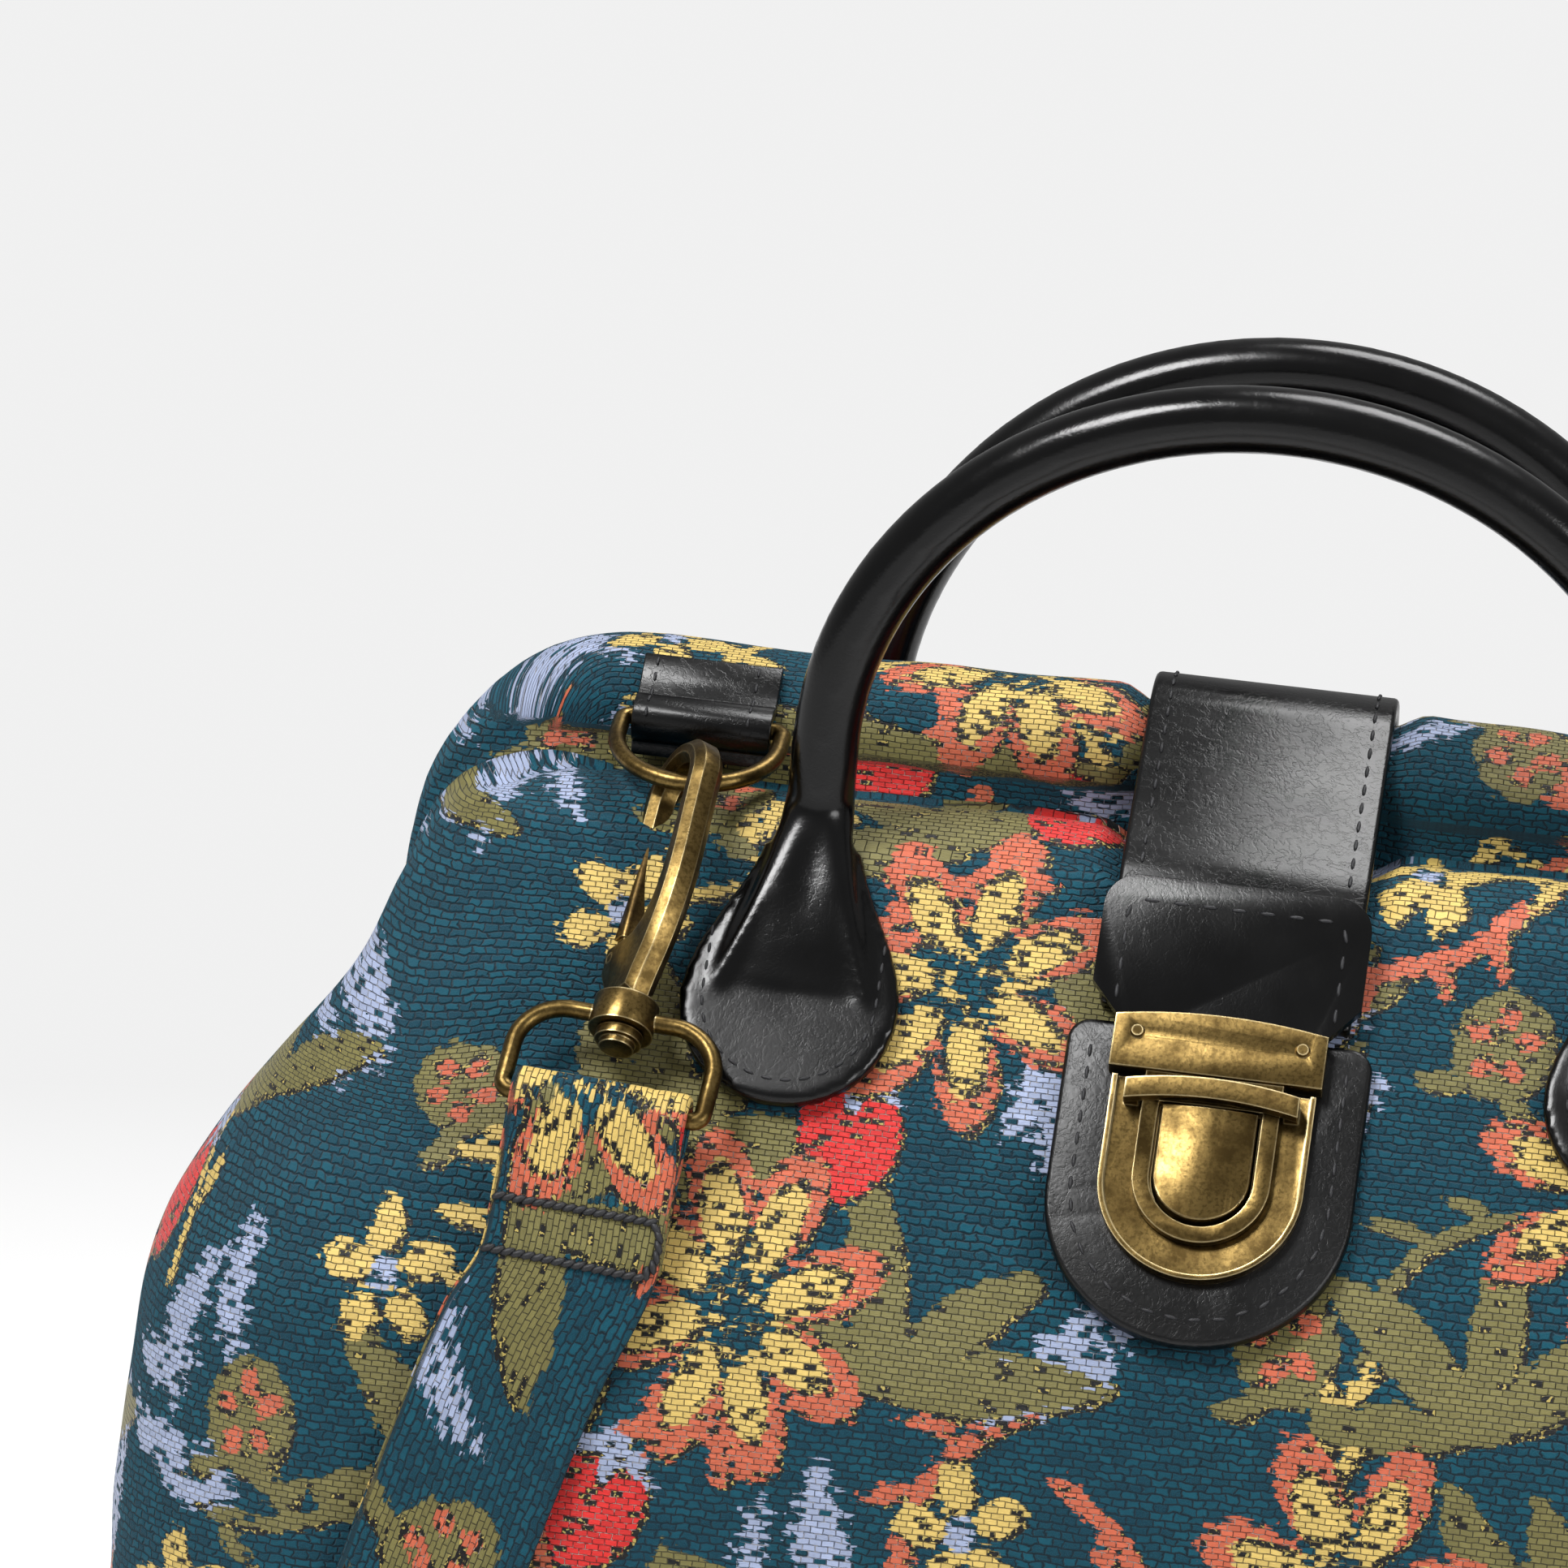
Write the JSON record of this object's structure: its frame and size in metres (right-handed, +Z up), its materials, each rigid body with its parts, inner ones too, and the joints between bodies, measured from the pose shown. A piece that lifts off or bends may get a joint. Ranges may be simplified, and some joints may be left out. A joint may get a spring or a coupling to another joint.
{
  "type": "carpet bag",
  "caption": "Frame-mouth carpet bag with rolled handles, a press-button tuck lock, D-rings and a clip-on shoulder strap.",
  "frame": {"origin": "middle of the bag's base, on the floor under the centre foot", "axes": "+X to the bag's right as seen from the front, -Y out of the front with the lock, +Z up"},
  "size_m": [0.3622, 0.3863, 0.31],
  "materials": {
    "chenille_tapestry": "matte",
    "black_leather": "gloss",
    "antique_brass": "antique satin",
    "steel": "satin",
    "lining_cloth": "matte",
    "base_board": "matte"
  },
  "bodies": {
    "bag": {"back_casing": "chenille_tapestry", "back_panel": "chenille_tapestry", "base_board": "base_board", "base_panel": "chenille_tapestry", "button_spring": "steel", "catch_rivets": "antique_brass", "closure_flap": "black_leather", "closure_strap": "black_leather", "foot_back_left": "antique_brass", "foot_back_right": "antique_brass", "foot_front_left": "antique_brass", "foot_front_right": "antique_brass", "foot_middle": "antique_brass", "frame_back": "steel", "frame_front": "steel", "front_casing": "chenille_tapestry", "front_panel": "chenille_tapestry", "handle_back": "black_leather", "handle_front": "black_leather", "hinge_rivet_left": "steel", "hinge_rivet_right": "steel", "left_gusset": "chenille_tapestry", "lining": "lining_cloth", "lock_catch": "antique_brass", "lock_leather_base": "black_leather", "lock_plate": "antique_brass", "right_gusset": "chenille_tapestry", "ring_tab_left": "black_leather", "ring_tab_right": "black_leather", "shoulder_strap": "chenille_tapestry"},
    "button": {"lock_button": "antique_brass"},
    "clip_left": {"clip_eye_left": "antique_brass"},
    "hook_left": {"clip_hook_left": "antique_brass", "gate_pin_left": "antique_brass"},
    "gate_left": {"clip_gate_left": "antique_brass"},
    "ring_left": {"d_ring_left": "antique_brass"},
    "clip_right": {"clip_eye_right": "antique_brass"},
    "hook_right": {"clip_hook_right": "antique_brass", "gate_pin_right": "antique_brass"},
    "gate_right": {"clip_gate_right": "antique_brass"},
    "ring_right": {"d_ring_right": "antique_brass"}
  },
  "joints": [
    {"name": "button_press", "type": "slide", "parent": "bag", "child": "button", "axis": [0, 0.8192, -0.5736], "range_m": [0, 0.002], "stiffness_N_per_m": 300, "springref_m": -0.002, "deforming": ["button_spring"]},
    {"name": "clip_left_swing", "type": "hinge", "parent": "bag", "child": "clip_left", "pos_m": [-0.096, -0.01283, 0.23973], "axis": [-1, 0, 0], "range_deg": [0, 45], "deforming": ["shoulder_strap"]},
    {"name": "ring_left_swing", "type": "hinge", "parent": "bag", "child": "ring_left", "pos_m": [-0.096, -0.01283, 0.23973], "axis": [-1, 0, 0], "range_deg": [0, 45]},
    {"name": "hook_left_swivel", "type": "hinge", "parent": "clip_left", "child": "hook_left", "pos_m": [-0.09886, -0.06216, 0.1977], "axis": [0.061, 0.6651, 0.7442], "range_deg": [-12, 12]},
    {"name": "gate_left_press", "type": "hinge", "parent": "hook_left", "child": "gate_left", "pos_m": [-0.1014, -0.04939, 0.20396], "axis": [0.8465, 0.3606, -0.3917], "range_deg": [0, 21], "stiffness_Nm_per_rad": 0.01, "springref_deg": -11.46},
    {"name": "clip_right_swing", "type": "hinge", "parent": "bag", "child": "clip_right", "pos_m": [0.096, -0.01283, 0.23973], "axis": [-1, 0, 0], "range_deg": [0, 45], "deforming": ["shoulder_strap"]},
    {"name": "ring_right_swing", "type": "hinge", "parent": "bag", "child": "ring_right", "pos_m": [0.096, -0.01283, 0.23973], "axis": [-1, 0, 0], "range_deg": [0, 45]},
    {"name": "hook_right_swivel", "type": "hinge", "parent": "clip_right", "child": "hook_right", "pos_m": [0.09886, -0.06216, 0.1977], "axis": [-0.061, 0.6651, 0.7442], "range_deg": [-12, 12]},
    {"name": "gate_right_press", "type": "hinge", "parent": "hook_right", "child": "gate_right", "pos_m": [0.1014, -0.04939, 0.20396], "axis": [0.8465, -0.3606, 0.3917], "range_deg": [0, 21], "stiffness_Nm_per_rad": 0.01, "springref_deg": -11.46}
  ],
  "couplings": [
    {"joint": "ring_left_swing", "follows": "clip_left_swing", "ratio": 1},
    {"joint": "ring_right_swing", "follows": "clip_right_swing", "ratio": 1}
  ]
}
